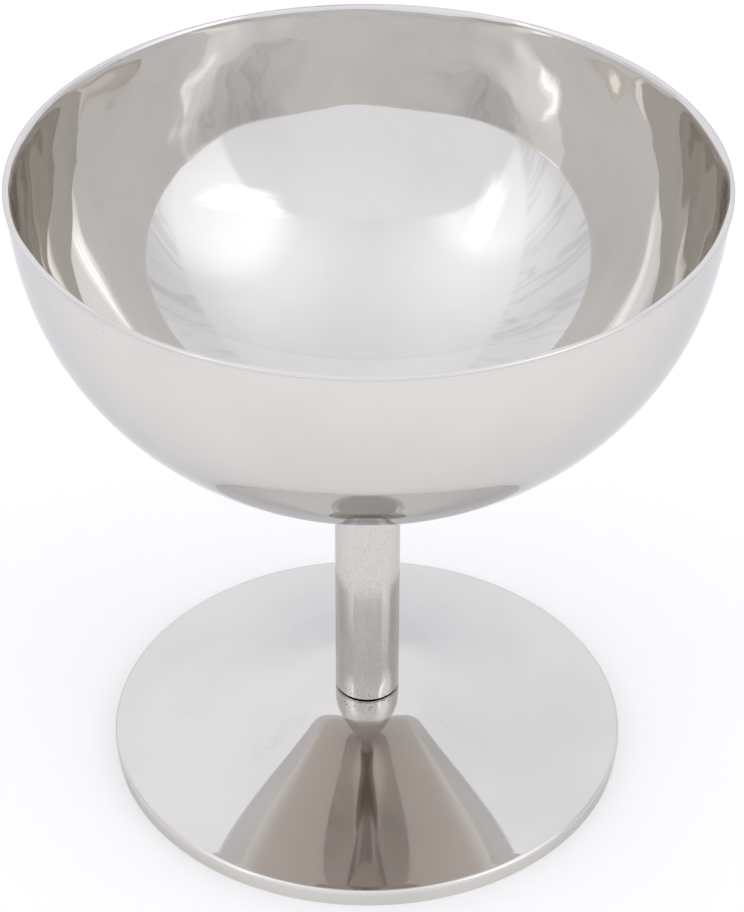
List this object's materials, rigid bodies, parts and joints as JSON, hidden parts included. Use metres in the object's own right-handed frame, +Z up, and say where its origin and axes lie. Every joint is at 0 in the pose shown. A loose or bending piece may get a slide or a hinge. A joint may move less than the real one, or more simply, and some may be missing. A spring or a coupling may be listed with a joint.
{
  "type": "ice cream coupe",
  "caption": "Polished stainless steel ice cream coupe: thin round bowl with a flared lip on a slim tubular stem and a low bell-shaped foot.",
  "frame": {"origin": "on the stem's axis, on the surface that the foot stands on", "axes": "+Z up along the stem's axis, towards the bowl's mouth; the coupe is round, so +X and +Y are alike"},
  "size_m": [0.09, 0.09, 0.0911],
  "materials": {
    "polished_steel": "mirror-polished stainless steel",
    "satin_steel": "fine satin stainless steel",
    "fastener_steel": "plain stainless fasteners"
  },
  "bodies": {
    "root": {"bowl": "polished_steel", "bowl_boss": "fastener_steel", "stem_tube": "satin_steel", "tie_rod": "fastener_steel", "foot": "polished_steel", "clamp_washer": "fastener_steel", "lock_washer": "fastener_steel", "hex_nut": "fastener_steel"}
  },
  "joints": []
}
